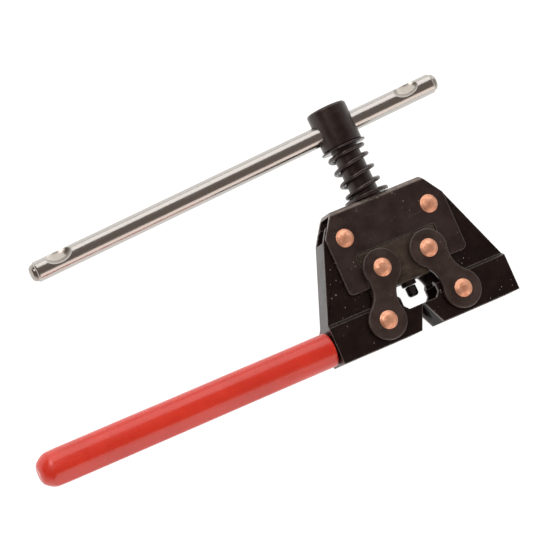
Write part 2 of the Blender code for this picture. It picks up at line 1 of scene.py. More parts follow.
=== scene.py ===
"""Fine meshes, finishes, light and camera for the roller chain breaker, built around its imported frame.

Shapes are drawn in the tool's own frame: x across the jaws, y along the forcing screw towards its head, z out
of the front cheek, with x = 0 on the screw's axis, y = 0 on the jaw lips and z = 0 half way through the tool.
Lengths are in metres.
"""

import math

import bmesh
import bpy
from mathutils import Matrix, Vector, noise


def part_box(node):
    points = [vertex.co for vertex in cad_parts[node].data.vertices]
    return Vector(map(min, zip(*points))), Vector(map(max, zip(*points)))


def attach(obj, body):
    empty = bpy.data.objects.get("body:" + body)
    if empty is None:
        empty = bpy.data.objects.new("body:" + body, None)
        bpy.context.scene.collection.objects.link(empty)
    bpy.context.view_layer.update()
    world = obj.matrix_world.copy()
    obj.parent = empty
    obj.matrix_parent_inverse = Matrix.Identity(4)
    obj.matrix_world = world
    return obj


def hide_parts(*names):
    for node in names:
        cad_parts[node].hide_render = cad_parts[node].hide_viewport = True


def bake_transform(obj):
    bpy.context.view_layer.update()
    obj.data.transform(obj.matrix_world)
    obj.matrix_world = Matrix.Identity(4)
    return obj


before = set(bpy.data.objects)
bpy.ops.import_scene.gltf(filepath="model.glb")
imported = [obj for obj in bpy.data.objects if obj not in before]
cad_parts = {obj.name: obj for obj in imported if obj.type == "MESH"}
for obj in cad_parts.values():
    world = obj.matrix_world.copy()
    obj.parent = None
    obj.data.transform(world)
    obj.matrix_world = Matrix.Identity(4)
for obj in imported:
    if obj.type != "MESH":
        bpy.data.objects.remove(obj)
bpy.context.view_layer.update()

# Clearances and stock
GAP = 0.0003
SHEET = 0.0018
OVER = 0.0050

# Saddle frame: a sheet folded into an upside-down U
BRIDGE_HALF_WIDTH = 0.0259
SHOULDER_HALF_WIDTH = 0.0343
SHOULDER_HEIGHT = 0.0485
BEND_RADIUS = 0.0030
WINDOW_HALF_WIDTH = 0.0228
WINDOW_TOP = 0.0355

# Linkage pivots on the right, and the copper rivets in them
FRAME_PIVOT = (0.0246, 0.0456)
CROSSHEAD_PIVOT = (0.0136, 0.0246)
JAW_PIVOT = (0.0219, -0.0010)
RIVET_SHANK_RADIUS = 0.0030
RIVET_HEAD_RADIUS = 0.0048
RIVET_HEAD_HEIGHT = 0.0018
RIVET_HOLE_RADIUS = 0.0032
PEEN_DROP = 0.00007
PEEN_DEPTH = 0.00006
PEENS_PER_METRE = (650.0, 1500.0)
OPEN_HOLE_RADIUS = 0.0034

# Dog-bone links
LINK_THICKNESS = 0.0030
LINK_END_RADIUS = 0.01025
LINK_WAIST_HALF_WIDTH = 0.0062
LINK_EDGE = 0.0009

# Forcing screw, push pin, washers and spring
THREAD_RADIUS = 0.0060
THREAD_PITCH = 0.00175
THREAD_DEPTH = 0.0009
HEAD_RADIUS = 0.0107
HEAD_TOP = 0.1118
HEAD_BOTTOM = 0.0904
SHANK_RADIUS = 0.0071
SHANK_BOTTOM = 0.0445
THREAD_BOTTOM = 0.0150
NOSE_RADIUS = 0.0040
NOSE_BOTTOM = 0.0110
PIN_RADIUS = 0.0029
PIN_TIP = 0.0052
SEAT_RADIUS = 0.0120
SEAT_CROWN_RADIUS = 0.0106
SEAT_HEIGHT = 0.0020
SEAT_LIFT = 0.0005
WASHER_RADIUS = 0.0120
WASHER_THICKNESS = 0.0010
SPRING_RADIUS = 0.0094
SPRING_WIRE = 0.0022
SPRING_TURNS = 4.0
SPRING_CLOSED_BELOW = 0.3
SPRING_CLOSED_ABOVE = 0.75
SPRING_START = math.radians(90.0)
SCREW_LEAN = math.radians(1.7)

# Tommy bar, loose in the hole through the screw's head
BAR_RADIUS = 0.0053
BAR_HEIGHT = 0.1000
BAR_LEFT = 0.1746
BAR_RIGHT = 0.0606
BAR_DROOP = math.radians(3.1)
BAR_TILT = math.radians(1.7)
BAR_END = (
    (0.0, 0.0018), (0.0003, 0.0029), (0.0009, 0.0038), (0.0017, 0.0043), (0.0024, 0.0045),
    (0.0027, 0.0046), (0.0030, 0.0050), (0.0036, BAR_RADIUS),
)
DENT_RADIUS = 0.0120
DENT_DEPTH = 0.0023
DENT_LEFT = 0.1583
DENT_RIGHT = 0.0425
DENT_TURN = math.radians(60.0)

# Jaws: sheet channels with a solid insert at the tip
JAW_BOTTOM = -0.0127
JAW_CORNER_HEIGHT = 0.0067
JAW_SLOPE_TOP = (0.0352, 0.0480)
JAW_EAR_TOP = 0.0544
JAW_EAR_OUTER = 0.0310
JAW_EAR_INNER = 0.0166
JAW_EAR_FOOT = 0.0380
JAW_WALL_STEP = 0.0362
JOGGLE_TOP = 0.0080
JOGGLE_DROP = 0.0014
LIP_END = 0.0080
NEST_HALF_WIDTH = 0.0102
NEST_CORNER_HEIGHT = 0.0025
INSERT_NEST = 0.0175
TIP_NOSE = (0.00015, -0.0005)
TIP_SHOULDER = (0.0008, -0.0008)
TIP_FOOT = 0.0064
ROLLER_NOTCH_RADIUS = 0.0047

# Crosshead
CROSSHEAD_CORNER = 0.0006

# Handle on the left jaw
HANDLE_HEIGHT = -0.0028
HANDLE_BAR_RADIUS = 0.0066
HANDLE_NECK_RADIUS = 0.0060
GRIP_MOUTH_RADIUS = 0.0090
GRIP_TIP_RADIUS = 0.0050
GRIP_TIP_LENGTH = 0.0052
GRIP_FLAT_TURN = math.radians(50.0)
GRIP_FLAT_HEIGHT = 0.0083
GRIP_FLAT_START = 0.0350
GRIP_FLAT_SHARE = 0.9
GRIP_WAVE = 0.00006
GRIP_WAVES_PER_METRE = 45.0

ALONG_Y = Matrix.Rotation(math.radians(-90), 4, "X")
ALONG_X = Matrix.Rotation(math.radians(90), 4, "Y")
ALONG_X_FROM_SIDE = Matrix(((0, 0, 1, 0), (0, 1, 0, 0), (1, 0, 0, 0), (0, 0, 0, 1)))


def tool_origin():
    """Where the tool's own origin lies in the row frame."""
    nut_low, nut_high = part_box("crosshead_nut")
    middle = (nut_low + nut_high) / 2
    return Vector((middle.x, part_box("left_jaw")[0].y - JAW_BOTTOM, middle.z))


ORIGIN = tool_origin()


def tool_box(node):
    """A CAD node's box in the tool's frame."""
    low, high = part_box(node)
    return low - ORIGIN, high - ORIGIN


# Sizes read from the frame
HALF_DEPTH = tool_box("frame_saddle")[1].z
BRIDGE_TOP = tool_box("frame_saddle")[1].y
ARM_BOTTOM = tool_box("frame_saddle")[0].y
CROSSHEAD_LOW, CROSSHEAD_HIGH = tool_box("crosshead_nut")
JAW_END = tool_box("right_jaw")[1].x
INSERT_END = tool_box("right_jaw_insert")[1].x
GRIP_RADIUS = tool_box("handle_grip")[1].z
GRIP_END = -tool_box("handle_grip")[0].x
LINK_FACE = HALF_DEPTH + GAP + LINK_THICKNESS
SEAT_BOTTOM = BRIDGE_TOP + SEAT_LIFT
SEAT_TOP = SEAT_BOTTOM + SEAT_HEIGHT
WASHER_TOP = HEAD_BOTTOM - GAP
WASHER_BOTTOM = WASHER_TOP - WASHER_THICKNESS
UPPER_HALF_DEPTH = HALF_DEPTH - SHEET - GAP
INSERT_HALF_DEPTH = HALF_DEPTH - SHEET - GAP
INSERT_RELIEF = ((INSERT_END, -0.0070, 0.0), (0.0160, -0.0104, 0.0), (0.0130, JAW_BOTTOM, 0.0))


# ---------------------------------------------------------------- mesh helpers

def prism(outline, low, high, turn=None):
    """A solid with the given outline, from low to high along z, or turned to lie along another axis."""
    bm = bmesh.new()
    bottom = [bm.verts.new((point[0], point[1], low)) for point in outline]
    top = [bm.verts.new((point[0], point[1], high)) for point in outline]
    bm.faces.new(bottom)
    bm.faces.new(top)
    for i in range(len(outline)):
        bm.faces.new((bottom[i - 1], bottom[i], top[i], top[i - 1]))
    if turn:
        bm.transform(turn)
    return bm


def inset(outline, distance):
    """The outline moved inwards, corner by corner; it runs counter-clockwise."""
    moved = []
    for i, here in enumerate(outline):
        before = (here - outline[i - 1]).normalized()
        after = (outline[(i + 1) % len(outline)] - here).normalized()
        inward = Vector((-before.y - after.y, before.x + after.x)).normalized()
        across = Vector((-before.y, before.x))
        moved.append(here + inward * distance / max(inward.dot(across), 0.3))
    return moved


def pillow(outline, low, high, edge, steps=5):
    """A plate with the given outline whose rims are rounded all the way round."""
    bm = bmesh.new()
    arc = [math.pi / 2 * k / steps for k in range(steps + 1)]
    levels = [(1 - math.sin(a), low + edge * (1 - math.cos(a))) for a in arc]
    levels += [(1 - math.cos(a), high - edge * (1 - math.sin(a))) for a in arc]
    rings = []
    for share, height in levels:
        ring = inset(outline, edge * share)
        rings.append([bm.verts.new((p.x, p.y, height)) for p in ring])
    bm.faces.new(rings[0])
    bm.faces.new(rings[-1])
    bridge(bm, rings)
    return bm


def bridge(bm, rings):
    for lower, upper in zip(rings, rings[1:]):
        for i in range(len(lower)):
            bm.faces.new((lower[i - 1], lower[i], upper[i], upper[i - 1]))


def turned(profile, sides=96, place=Matrix.Identity(4)):
    """Turns a profile of (radius, height) points about z; a profile that starts off the axis is a ring."""
    bm = bmesh.new()
    rings = []
    for radius, height in profile:
        count = sides if radius > 1e-7 else 1
        angles = [2 * math.pi * i / sides for i in range(count)]
        rings.append([bm.verts.new((radius * math.cos(a), radius * math.sin(a), height)) for a in angles])
    pairs = list(zip(rings, rings[1:]))
    if profile[0][0] > 1e-7:
        pairs.append((rings[-1], rings[0]))
    for lower, upper in pairs:
        for i in range(sides):
            corners = [(lower, i), (lower, i + 1), (upper, i + 1), (upper, i)]
            bm.faces.new(list(dict.fromkeys(ring[k % len(ring)] for ring, k in corners)))
    bm.transform(place)
    return bm


def rod(radius, low, high, place=Matrix.Identity(4), sides=96):
    return turned([(0, low), (radius, low), (radius, high), (0, high)], sides, place)


def rounded(corners, steps=8):
    """An outline from (x, y, radius) corners, each with a radius made an arc."""
    outline = []
    count = len(corners)
    for i, (x, y, radius) in enumerate(corners):
        here = Vector((x, y))
        if not radius:
            outline.append(here)
            continue
        to_last = (Vector(corners[i - 1][:2]) - here).normalized()
        to_next = (Vector(corners[(i + 1) % count][:2]) - here).normalized()
        half = to_last.angle(to_next) / 2
        centre = here + (to_last + to_next).normalized() * radius / math.sin(half)
        first = here + to_last * radius / math.tan(half) - centre
        last = here + to_next * radius / math.tan(half) - centre
        for k in range(steps + 1):
            outline.append(centre + first.slerp(last, k / steps).normalized() * radius)
    return outline


def rounded_profile(corners, steps=8):
    """A turned piece's (radius, height) profile with rounded corners, open at both ends."""
    return [tuple(point) for point in rounded(corners, steps)]


def mirrored(corners, side):
    return [(side * corner[0], *corner[1:]) for corner in corners]


def mirror_flat(corners, side):
    return [(side * corner[0], corner[1]) for corner in corners]


def at(pivot, side=1):
    return Matrix.Translation((side * pivot[0], pivot[1], 0.0))


def make_object(name, bm):
    """An object from a shape drawn in the tool's frame, moved into the row frame."""
    bmesh.ops.recalc_face_normals(bm, faces=bm.faces)
    bm.transform(Matrix.Translation(ORIGIN))
    mesh = bpy.data.meshes.new(name)
    bm.to_mesh(mesh)
    bm.free()
    obj = bpy.data.objects.new(name, mesh)
    bpy.context.scene.collection.objects.link(obj)
    return obj


def bake(obj):
    """Makes an object's modified mesh its own."""
    graph = bpy.context.evaluated_depsgraph_get()
    mesh = bpy.data.meshes.new_from_object(obj.evaluated_get(graph))
    obj.modifiers.clear()
    obj.data = mesh


def carve(obj, operation, bm):
    """Cuts, joins or intersects an object with another shape."""
    tool = make_object("tool", bm)
    modifier = obj.modifiers.new("carve", "BOOLEAN")
    modifier.operation = operation
    modifier.solver = "EXACT"
    modifier.object = tool
    bake(obj)
    bpy.data.objects.remove(tool, do_unlink=True)


def cut_hole(obj, radius, low, high, place):
    carve(obj, "DIFFERENCE", rod(radius, low, high, place, 64))


def cut_rivet_hole(obj, pivot, side, radius=RIVET_HOLE_RADIUS):
    depth = 2 * HALF_DEPTH
    cut_hole(obj, radius, -depth, depth, at(pivot, side))


def soften(obj, width, segments=3, angle=40):
    """Rounds an object's sharp edges."""
    bevel = obj.modifiers.new("edges", "BEVEL")
    bevel.width = width
    bevel.segments = segments
    bevel.limit_method = "ANGLE"
    bevel.angle_limit = math.radians(angle)
    bevel.use_clamp_overlap = True
    bevel.miter_outer = "MITER_ARC"
    bake(obj)


def smooth(obj, angle=40):
    """Smooth shading across shallow edges, led by the large flat faces."""
    obj.data.shade_smooth()
    obj.data.set_sharp_from_angle(angle=math.radians(angle))
    weighted = obj.modifiers.new("normals", "WEIGHTED_NORMAL")
    weighted.keep_sharp = True
    weighted.weight = 80
    bake(obj)


def finish_piece(obj, body, slot, material, *nodes):
    """Gives a piece its material and, unless None, its body, and hides the CAD nodes it stands for; slot is
    not used.
    """
    obj.data.materials.clear()
    obj.data.materials.append(material)
    if body:
        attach(obj, body)
    if nodes:
        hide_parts(*nodes)


# ------------------------------------------------------------------- materials

def node(tree, kind, inputs=None, **settings):
    """Adds a shader node; an input is a value or another node's output."""
    made = tree.nodes.new("ShaderNode" + kind)
    for key, value in settings.items():
        setattr(made, key, value)
    for key, value in (inputs or {}).items():
        if isinstance(value, bpy.types.NodeSocket):
            tree.links.new(value, made.inputs[key])
        else:
            made.inputs[key].default_value = value
    return made


def new_material(name):
    material = bpy.data.materials.new(name)
    material.use_nodes = True
    tree = material.node_tree
    return material, tree, tree.nodes["Principled BSDF"]


def object_place(tree):
    return node(tree, "TexCoord").outputs["Object"]


def noise_value(tree, place, scale, detail=3.0, rough=0.55):
    inputs = {"Vector": place, "Scale": scale, "Detail": detail, "Roughness": rough}
    return node(tree, "TexNoise", inputs).outputs["Fac"]


def remap(tree, value, low, high, new_low=0.0, new_high=1.0):
    inputs = {"Value": value, "From Min": low, "From Max": high, "To Min": new_low, "To Max": new_high}
    return node(tree, "MapRange", inputs).outputs["Result"]


def multiply(tree, first, second):
    return node(tree, "Math", {0: first, 1: second}, operation="MULTIPLY").outputs[0]


def blend_colour(tree, share, first, second):
    made = node(tree, "Mix", data_type="RGBA")
    for socket, value in ((0, share), (6, first), (7, second)):
        if isinstance(value, bpy.types.NodeSocket):
            tree.links.new(value, made.inputs[socket])
        elif socket:
            made.inputs[socket].default_value = (*value, 1.0)
        else:
            made.inputs[socket].default_value = value
    return made.outputs[2]


def stretched(tree, place, scale):
    """Places squeezed along some axes, for scratches and streaks that run along the others."""
    return node(tree, "Mapping", {"Vector": place, "Scale": scale}).outputs["Vector"]


def edge_share(tree, radius, reach):
    """1 on an outer or inner edge, 0 on a flat face."""
    round_normal = node(tree, "Bevel", {"Radius": radius}, samples=6).outputs["Normal"]
    normal = node(tree, "NewGeometry").outputs["Normal"]
    inputs = {0: round_normal, 1: normal}
    facing = node(tree, "VectorMath", inputs, operation="DOT_PRODUCT").outputs["Value"]
    return remap(tree, facing, 1.0, 1.0 - reach)


def specks(tree, place, scale, size):
    """Small round grains scattered over the surface."""
    cell = node(tree, "TexVoronoi", {"Vector": place, "Scale": scale, "Randomness": 1.0})
    near = remap(tree, cell.outputs["Distance"], size, size * 0.55)
    some = remap(tree, noise_value(tree, place, scale * 0.11, 2.0), 0.45, 0.60)
    return multiply(tree, near, some)


def bump(tree, shader, height, distance, strength=1.0, under=None):
    inputs = {"Height": height, "Distance": distance, "Strength": strength}
    if under:
        inputs["Normal"] = under
    made = node(tree, "Bump", inputs).outputs["Normal"]
    tree.links.new(made, shader.inputs["Normal"])
    return made


def bend_share(tree):
    """1 where a face leans between upright and flat, as the folded sheet's bends do; it places the painted
    bend highlight.
    """
    normal = node(tree, "NewGeometry").outputs["Normal"]
    lean = node(tree, "SeparateXYZ", {0: normal}).outputs["Y"]
    return multiply(tree, remap(tree, lean, 0.20, 0.50), remap(tree, lean, 0.97, 0.80))


def blackened_steel(name, dark, warm, roughness, wear, dust, gloss, bend_highlight=0.0):
    """Chemically blackened steel: cloudy brown-black, with worn edges, pores, scratches and dust, and, where
    asked, a painted highlight along the sheet's bends.
    """
    material, tree, shader = new_material(name)
    place = object_place(tree)
    clouds = remap(tree, noise_value(tree, place, 95.0, 5.0, 0.65), 0.36, 0.66)
    colour = blend_colour(tree, clouds, dark, warm)
    fine = noise_value(tree, place, 1500.0, 3.0)
    pores = remap(tree, fine, 0.62, 0.72)
    colour = blend_colour(tree, multiply(tree, pores, 0.5), colour, tuple(c * 2.2 for c in warm))
    streaks = noise_value(tree, stretched(tree, place, (60.0, 900.0, 400.0)), 1.0, 4.0, 0.7)
    scratch = remap(tree, streaks, 0.66, 0.74)
    colour = blend_colour(tree, multiply(tree, scratch, 0.35), colour, (0.16, 0.14, 0.13))
    patches = remap(tree, noise_value(tree, place, 260.0, 4.0, 0.7), 0.35, 0.60, 0.35, 1.0)
    worn = multiply(tree, multiply(tree, edge_share(tree, 0.0006, 0.10), patches), wear)
    colour = blend_colour(tree, worn, colour, (0.30, 0.26, 0.24))
    # Painted highlight: bend faces that lean towards the lights are made lighter, in patches.
    if bend_highlight:
        painted_bend_highlight = multiply(tree, multiply(tree, bend_share(tree), patches), bend_highlight)
        colour = blend_colour(tree, painted_bend_highlight, colour, (0.20, 0.165, 0.14))
    grains = multiply(tree, specks(tree, place, 420.0, 0.13), dust)
    colour = blend_colour(tree, grains, colour, (0.42, 0.36, 0.30))
    tree.links.new(colour, shader.inputs["Base Color"])
    shine = remap(tree, clouds, 0.0, 1.0, roughness - 0.05, roughness + 0.09)
    tree.links.new(shine, shader.inputs["Roughness"])
    tree.links.new(multiply(tree, worn, 0.8), shader.inputs["Metallic"])
    low = bump(tree, shader, noise_value(tree, place, 190.0, 4.0), 0.00010)
    bump(tree, shader, fine, 0.00002, under=low)
    shader.inputs["Specular IOR Level"].default_value = gloss
    shader.inputs["Specular Tint"].default_value = (1.0, 0.86, 0.80, 1.0)
    return material


def browned_steel():
    """Machined steel gone brown, with tool marks across it."""
    material, tree, shader = new_material("browned_steel_fine")
    place = object_place(tree)
    clouds = remap(tree, noise_value(tree, place, 160.0, 5.0, 0.65), 0.35, 0.68)
    colour = blend_colour(tree, clouds, (0.040, 0.027, 0.020), (0.085, 0.060, 0.044))
    marks = noise_value(tree, stretched(tree, place, (90.0, 2600.0, 90.0)), 1.0, 3.0)
    streak = remap(tree, marks, 0.45, 0.75, 0.0, 0.6)
    colour = blend_colour(tree, streak, colour, (0.130, 0.098, 0.074))
    worn = edge_share(tree, 0.0004, 0.12)
    colour = blend_colour(tree, multiply(tree, worn, 0.35), colour, (0.30, 0.24, 0.20))
    tree.links.new(colour, shader.inputs["Base Color"])
    shader.inputs["Metallic"].default_value = 0.6
    tree.links.new(remap(tree, clouds, 0.0, 1.0, 0.34, 0.52), shader.inputs["Roughness"])
    bump(tree, shader, marks, 0.00003)
    return material


def copper():
    """Peened copper: bright, finely dimpled, with small dark stains, and painted shade darkening each dome
    towards its rim.
    """
    material, tree, shader = new_material("copper_fine")
    place = object_place(tree)
    clouds = remap(tree, noise_value(tree, place, 420.0, 4.0, 0.6), 0.32, 0.70)
    colour = blend_colour(tree, clouds, (0.66, 0.28, 0.16), (0.95, 0.50, 0.33))
    stains = remap(tree, noise_value(tree, place, 1100.0, 3.0, 0.7), 0.60, 0.72)
    colour = blend_colour(tree, multiply(tree, stains, 0.55), colour, (0.26, 0.12, 0.08))
    # Painted shade: each dome's colour darkens where its surface slopes down to the rim.
    normal = node(tree, "NewGeometry").outputs["Normal"]
    facing = node(tree, "SeparateXYZ", {0: normal}).outputs["Z"]
    upright = node(tree, "Math", {0: facing}, operation="ABSOLUTE").outputs[0]
    rim = remap(tree, upright, 0.90, 0.76, 0.0, 0.75)
    colour = blend_colour(tree, rim, colour, (0.30, 0.13, 0.075))
    tree.links.new(colour, shader.inputs["Base Color"])
    shader.inputs["Metallic"].default_value = 0.72
    tree.links.new(remap(tree, clouds, 0.0, 1.0, 0.46, 0.33), shader.inputs["Roughness"])
    dimples = node(tree, "TexVoronoi", {"Vector": place, "Scale": 900.0}, feature="SMOOTH_F1")
    low = bump(tree, shader, dimples.outputs["Distance"], 0.00006)
    bump(tree, shader, noise_value(tree, place, 1800.0, 3.0), 0.00002, under=low)
    return material


def bar_depth(tree, place):
    """1 in the tommy bar's scoops, 0 on its round surface."""
    middle = ORIGIN + bar_place().translation
    along = bar_place().to_3x3() @ Vector((0, 0, 1))
    offset = node(tree, "VectorMath", {0: place, 1: middle}, operation="SUBTRACT").outputs["Vector"]
    across = node(tree, "VectorMath", {0: offset, 1: along}, operation="CROSS_PRODUCT").outputs["Vector"]
    radius = node(tree, "VectorMath", {0: across}, operation="LENGTH").outputs["Value"]
    return remap(tree, radius, BAR_RADIUS - 0.0001, BAR_RADIUS - 0.0008)


def polished_chrome():
    """Bright chrome plate with lengthwise polishing lines, a faint grain, dull spots, and a darker colour
    inside the scoops, fading at their rims.
    """
    material, tree, shader = new_material("polished_chrome_fine")
    place = object_place(tree)
    lines = noise_value(tree, stretched(tree, place, (30.0, 1500.0, 1500.0)), 1.0, 4.0, 0.6)
    grain = noise_value(tree, place, 1300.0, 3.0, 0.7)
    spots = remap(tree, noise_value(tree, place, 600.0, 4.0, 0.7), 0.58, 0.74)
    colour = blend_colour(tree, multiply(tree, spots, 0.4), (0.480, 0.455, 0.430), (0.30, 0.26, 0.24))
    # Darker colour inside the scoops, fading out towards their rims.
    scooped = multiply(tree, bar_depth(tree, place), 0.85)
    colour = blend_colour(tree, scooped, colour, (0.340, 0.310, 0.275))
    tree.links.new(colour, shader.inputs["Base Color"])
    shader.inputs["Metallic"].default_value = 1.0
    tree.links.new(remap(tree, lines, 0.3, 0.7, 0.16, 0.25), shader.inputs["Roughness"])
    low = bump(tree, shader, lines, 0.000008)
    bump(tree, shader, grain, 0.000016, under=low)
    return material


def red_vinyl():
    """Dipped vinyl: deep glossy red with a faint orange peel and fine dust."""
    material, tree, shader = new_material("red_vinyl_fine")
    place = object_place(tree)
    clouds = remap(tree, noise_value(tree, place, 60.0, 3.0, 0.6), 0.30, 0.72)
    colour = blend_colour(tree, clouds, (0.530, 0.022, 0.009), (0.620, 0.032, 0.014))
    grains = multiply(tree, specks(tree, place, 380.0, 0.10), 0.35)
    colour = blend_colour(tree, grains, colour, (0.85, 0.42, 0.34))
    tree.links.new(colour, shader.inputs["Base Color"])
    smears = noise_value(tree, stretched(tree, place, (25.0, 160.0, 160.0)), 1.0, 3.0)
    tree.links.new(remap(tree, smears, 0.3, 0.7, 0.20, 0.32), shader.inputs["Roughness"])
    shader.inputs["Specular IOR Level"].default_value = 0.64
    shader.inputs["Subsurface Weight"].default_value = 0.06
    shader.inputs["Subsurface Radius"].default_value = (0.002, 0.0006, 0.0004)
    low = bump(tree, shader, noise_value(tree, place, 90.0, 1.0), 0.00004)
    bump(tree, shader, noise_value(tree, place, 1100.0, 2.0), 0.000006, under=low)
    return material


def bare_steel():
    """Hardened pin steel, ground round and lightly oiled."""
    material, tree, shader = new_material("bare_steel_fine")
    place = object_place(tree)
    rings = noise_value(tree, stretched(tree, place, (200.0, 3000.0, 200.0)), 1.0, 3.0)
    colour = blend_colour(tree, rings, (0.045, 0.040, 0.038), (0.110, 0.100, 0.094))
    tree.links.new(colour, shader.inputs["Base Color"])
    shader.inputs["Metallic"].default_value = 1.0
    tree.links.new(remap(tree, rings, 0.3, 0.7, 0.24, 0.40), shader.inputs["Roughness"])
    bump(tree, shader, rings, 0.00001)
    return material


def make_materials():
    black, brown = (0.0098, 0.0044, 0.0042), (0.0225, 0.0122, 0.0113)
    link_black, link_brown = (0.0160, 0.0085, 0.0075), (0.0360, 0.0225, 0.0195)
    jaw_black, jaw_brown = (0.0040, 0.0017, 0.0015), (0.0090, 0.0044, 0.0038)
    screw_black, screw_brown = (0.0050, 0.0020, 0.0020), (0.0115, 0.0056, 0.0054)
    coil_black, coil_brown = (0.0050, 0.0025, 0.0025), (0.0105, 0.0058, 0.0056)
    return {
        "plate": blackened_steel("black_oxide_plate", black, brown, 0.36, 0.95, 0.90, 0.66, bend_highlight=0.85),
        "link": blackened_steel("black_oxide_link", link_black, link_brown, 0.36, 0.8, 0.3, 0.60),
        "jaw": blackened_steel("black_oxide_jaw", jaw_black, jaw_brown, 0.24, 1.0, 0.8, 0.40),
        "tip": blackened_steel("black_oxide_tip", jaw_black, jaw_brown, 0.48, 0.4, 0.3, 0.12),
        "screw": blackened_steel("black_oxide_screw", screw_black, screw_brown, 0.30, 0.5, 0.1, 0.60),
        "spring": blackened_steel("black_oxide_spring", coil_black, coil_brown, 0.20, 0.2, 0.0, 0.85),
        "browned": browned_steel(),
        "copper": copper(),
        "chrome": polished_chrome(),
        "vinyl": red_vinyl(),
        "steel": bare_steel(),
    }


# ---------------------------------------------------------------------- pieces

def make_saddle(material):
    """The cheeks' outline, cut to the section of a sheet folded over both long edges of the bridge."""
    half = [
        (WINDOW_HALF_WIDTH, WINDOW_TOP, 0.0014),
        (WINDOW_HALF_WIDTH, ARM_BOTTOM, 0.0010),
        (SHOULDER_HALF_WIDTH, ARM_BOTTOM, 0.0026),
        (SHOULDER_HALF_WIDTH, SHOULDER_HEIGHT, 0.0016),
        (BRIDGE_HALF_WIDTH, BRIDGE_TOP, 0.0),
    ]
    cheeks = rounded(half + mirrored(reversed(half), -1))
    saddle = make_object("saddle_frame", prism(cheeks, -2 * HALF_DEPTH, 2 * HALF_DEPTH))
    inner = HALF_DEPTH - SHEET
    foot = ARM_BOTTOM - OVER
    section = rounded([
        (-HALF_DEPTH, foot, 0.0),
        (-inner, foot, 0.0),
        (-inner, BRIDGE_TOP - SHEET, BEND_RADIUS - SHEET),
        (inner, BRIDGE_TOP - SHEET, BEND_RADIUS - SHEET),
        (inner, foot, 0.0),
        (HALF_DEPTH, foot, 0.0),
        (HALF_DEPTH, BRIDGE_TOP, BEND_RADIUS),
        (-HALF_DEPTH, BRIDGE_TOP, BEND_RADIUS),
    ])
    width = SHOULDER_HALF_WIDTH + OVER
    carve(saddle, "INTERSECT", prism(section, -width, width, ALONG_X_FROM_SIDE))
    cut_hole(saddle, SHANK_RADIUS + 2 * GAP, BRIDGE_TOP - 2 * SHEET, BRIDGE_TOP + SHEET, along_screw())
    for side in (-1, 1):
        cut_rivet_hole(saddle, FRAME_PIVOT, side)
    soften(saddle, 0.00045)
    smooth(saddle)
    finish_piece(saddle, "frame", "black_oxide", material, "frame_saddle")


def screw_lean():
    """Turns the screw's parts to the left about the crosshead's middle, as far as slack lets them lean."""
    middle = Matrix.Translation((0.0, CROSSHEAD_PIVOT[1], 0.0))
    return middle @ Matrix.Rotation(SCREW_LEAN, 4, "Z") @ middle.inverted()


def along_screw():
    """Carries z onto the forcing screw's axis, from its nose to its head."""
    return screw_lean() @ ALONG_Y


def make_spring_seat(material):
    bore = SHANK_RADIUS + GAP
    rim = SEAT_BOTTOM + SEAT_HEIGHT * 0.75
    profile = rounded_profile([
        (bore, SEAT_BOTTOM, 0.0),
        (SEAT_RADIUS, SEAT_BOTTOM, 0.0002),
        (SEAT_RADIUS, rim, 0.0005),
        (SEAT_CROWN_RADIUS, SEAT_TOP, 0.0006),
        (bore, SEAT_TOP, 0.0002),
    ], 4)
    seat = make_object("spring_seat_dish", turned(profile, 96, along_screw()))
    smooth(seat)
    finish_piece(seat, "frame", "black_oxide", material, "spring_seat")


def spring_height(turn):
    """Height of the wire's middle: close wound at both ends, evenly open between them."""
    low = SEAT_TOP + GAP + SPRING_WIRE / 2
    high = WASHER_BOTTOM - GAP - SPRING_WIRE / 2
    closed_pitch = SPRING_WIRE + GAP
    opening = (high - low) - closed_pitch * SPRING_TURNS
    share = (turn - SPRING_CLOSED_BELOW) / (SPRING_TURNS - SPRING_CLOSED_ABOVE - SPRING_CLOSED_BELOW)
    return low + closed_pitch * turn + opening * min(max(share, 0.0), 1.0)


def coil(first, last, steps_per_turn=64, sides=20):
    """A stretch of the spring's wire, from one turn count to another, closed at both ends."""
    bm = bmesh.new()
    steps = round((last - first) * steps_per_turn)
    rings = []
    for i in range(steps + 1):
        turn = first + (last - first) * i / steps
        angle = 2 * math.pi * turn + SPRING_START
        radial = Vector((math.cos(angle), 0.0, -math.sin(angle)))
        middle = radial * SPRING_RADIUS + Vector((0.0, spring_height(turn), 0.0))
        ring = []
        for k in range(sides):
            around = 2 * math.pi * k / sides
            offset = radial * math.cos(around) + Vector((0.0, math.sin(around), 0.0))
            ring.append(bm.verts.new(middle + offset * SPRING_WIRE / 2))
        rings.append(ring)
    bridge(bm, rings)
    bm.faces.new(rings[0])
    bm.faces.new(rings[-1])
    bm.transform(screw_lean())
    return bm


def make_spring(material):
    """Two lengths of one coil, parted where the crosshead's motion hands over to the washer's."""
    part = SPRING_TURNS / 2
    heights = (SEAT_TOP, spring_height(part), WASHER_BOTTOM)
    foot, middle, top = (ORIGIN + screw_lean() @ Vector((0, height, 0)) for height in heights)
    lengths = (
        ("spring_lower", 0.0, part, "frame", "crosshead", foot, middle),
        ("spring_upper", part, SPRING_TURNS, "crosshead", "head_washer", middle, top),
    )
    for name, first, last, below, above, start, end in lengths:
        piece = make_object(name, coil(first, last))
        piece.data.shade_smooth()
        piece.data.set_sharp_from_angle(angle=math.radians(60))
        finish_piece(piece, None, "black_oxide", material, "return_spring")
        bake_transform(piece)


def make_head_washer(material):
    bore = SHANK_RADIUS + GAP
    edge = 0.0003
    corners = [
        (bore, WASHER_BOTTOM, edge), (WASHER_RADIUS, WASHER_BOTTOM, edge),
        (WASHER_RADIUS, WASHER_TOP, edge), (bore, WASHER_TOP, edge),
    ]
    washer = make_object("thrust_washer", turned(rounded_profile(corners, 4), 96, along_screw()))
    smooth(washer)
    finish_piece(washer, "head_washer", "black_oxide", material, "head_washer")


